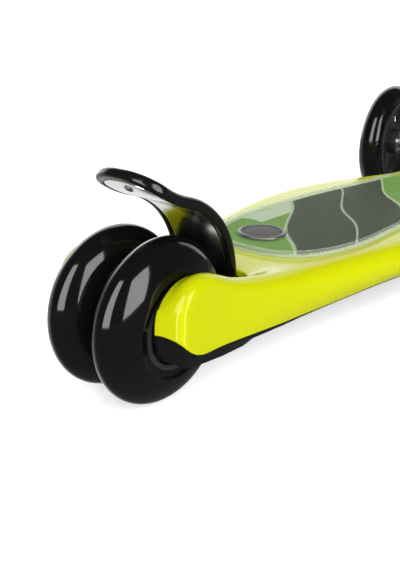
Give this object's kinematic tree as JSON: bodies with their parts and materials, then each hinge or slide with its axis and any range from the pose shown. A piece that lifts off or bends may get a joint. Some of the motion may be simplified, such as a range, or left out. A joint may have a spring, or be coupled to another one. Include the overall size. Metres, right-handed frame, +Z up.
{
  "type": "three-wheel kick scooter",
  "caption": "Child's kick scooter that steers by leaning: wide deck with a printed mat, twin rear wheel under a foot brake, sprung front truck, telescopic column and handlebar.",
  "frame": {"origin": "on the ground, in the middle of the scooter's length and width", "axes": "+X forward, +Y to the rider's left, +Z up"},
  "size_m": [0.61, 0.308, 0.7138],
  "materials": {
    "lime_plastic": "glossy moulded lime green",
    "black_plastic": "glossy moulded black",
    "black_urethane": "cast urethane, polished black",
    "black_nylon": "fine moulded texture, black",
    "clear_mat": "clear soft mat with a fine raised grain",
    "printed_film": null,
    "badge_dome": "plain domed oval, no marking",
    "polished_steel": "polished steel plate",
    "zinc_steel": "zinc plated steel",
    "silver_aluminium": "satin anodised silver",
    "black_rubber": "soft black rubber"
  },
  "bodies": {
    "deck": {"deck_shell": "lime_plastic", "lower_frame": "black_plastic", "deck_screw_1": "zinc_steel", "deck_screw_2": "zinc_steel", "deck_screw_3": "zinc_steel", "deck_screw_4": "zinc_steel", "housing_screw_right": "zinc_steel", "housing_screw_left": "zinc_steel", "grip_pad": "clear_mat", "printed_film": "printed_film", "oval_badge": "badge_dome", "rear_axle_bolt": "zinc_steel", "rear_axle_nut": "zinc_steel", "rear_twin_spacer": "zinc_steel", "brake_pin": "zinc_steel", "brake_spring": "zinc_steel", "front_housing": "black_plastic", "king_pin": "zinc_steel", "king_pin_nut": "zinc_steel", "centring_rubber_lower": "black_rubber", "centring_rubber_upper": "black_rubber", "lower_tube": "silver_aluminium", "guide_bush": "black_nylon", "height_clamp": "black_nylon", "clamp_bolt": "zinc_steel", "clamp_nut": "zinc_steel", "button_clip": "zinc_steel"},
    "brake": {"brake_fender": "black_plastic", "brake_plate": "polished_steel", "brake_rivet_lower": "zinc_steel", "brake_rivet_upper": "zinc_steel"},
    "truck": {"truck_beam": "black_nylon", "pivot_bush": "black_nylon", "front_axle_bolt_right": "zinc_steel", "front_axle_bolt_left": "zinc_steel", "front_spacer_right": "zinc_steel", "front_spacer_left": "zinc_steel"},
    "upper_column": {"inner_tube": "silver_aluminium", "bar_tee": "black_plastic", "handlebar_tube": "silver_aluminium", "grip_right": "black_rubber", "grip_left": "black_rubber", "tee_screw": "zinc_steel"},
    "lever": {"clamp_lever": "black_nylon", "cam_pin": "zinc_steel"},
    "button": {"release_button": "zinc_steel"},
    "rear_wheel_right": {"rear_tyre_right": "black_urethane", "rear_core_right": "black_nylon", "rear_bearing_set_right": "zinc_steel"},
    "front_wheel_right": {"front_tyre_right": "black_urethane", "front_core_right": "black_nylon", "front_bearing_set_right": "zinc_steel", "front_hub_cap_right": "black_nylon"},
    "rear_wheel_left": {"rear_tyre_left": "black_urethane", "rear_core_left": "black_nylon", "rear_bearing_set_left": "zinc_steel"},
    "front_wheel_left": {"front_tyre_left": "black_urethane", "front_core_left": "black_nylon", "front_bearing_set_left": "zinc_steel", "front_hub_cap_left": "black_nylon"}
  },
  "joints": [
    {"name": "rear_wheel_right_spin", "type": "hinge", "parent": "deck", "child": "rear_wheel_right", "pos_m": [-0.265, -0.0144, 0.04], "axis": [0, 1, 0], "continuous": true},
    {"name": "rear_wheel_left_spin", "type": "hinge", "parent": "deck", "child": "rear_wheel_left", "pos_m": [-0.265, 0.0144, 0.04], "axis": [0, 1, 0], "continuous": true},
    {"name": "front_wheel_right_spin", "type": "hinge", "parent": "truck", "child": "front_wheel_right", "pos_m": [0.245, -0.1, 0.06], "axis": [0, 1, 0], "continuous": true},
    {"name": "front_wheel_left_spin", "type": "hinge", "parent": "truck", "child": "front_wheel_left", "pos_m": [0.245, 0.1, 0.06], "axis": [0, 1, 0], "continuous": true},
    {"name": "lean_steer", "type": "hinge", "parent": "deck", "child": "truck", "pos_m": [0.235, 0, 0.056], "axis": [0.766, 0, 0.6428], "range_deg": [-15, 15], "stiffness_Nm_per_rad": 120},
    {"name": "brake_press", "type": "hinge", "parent": "deck", "child": "brake", "pos_m": [-0.216, 0, 0.041], "axis": [0, -1, 0], "range_deg": [0, 13], "stiffness_Nm_per_rad": 1, "springref_deg": -5.73, "deforming": ["brake_spring"]},
    {"name": "height_adjust", "type": "slide", "parent": "deck", "child": "upper_column", "axis": [-0.1392, 0, 0.9903], "range_m": [0, 0.16]},
    {"name": "clamp_lever_swing", "type": "hinge", "parent": "deck", "child": "lever", "pos_m": [0.12154, -0.0171, 0.46359], "axis": [0.1392, 0, -0.9903], "range_deg": [0, 105]},
    {"name": "button_press", "type": "slide", "parent": "deck", "child": "button", "axis": [0.9903, 0, 0.1392], "range_m": [0, 0.004], "stiffness_N_per_m": 600, "springref_m": -0.001, "deforming": ["button_clip"]}
  ]
}
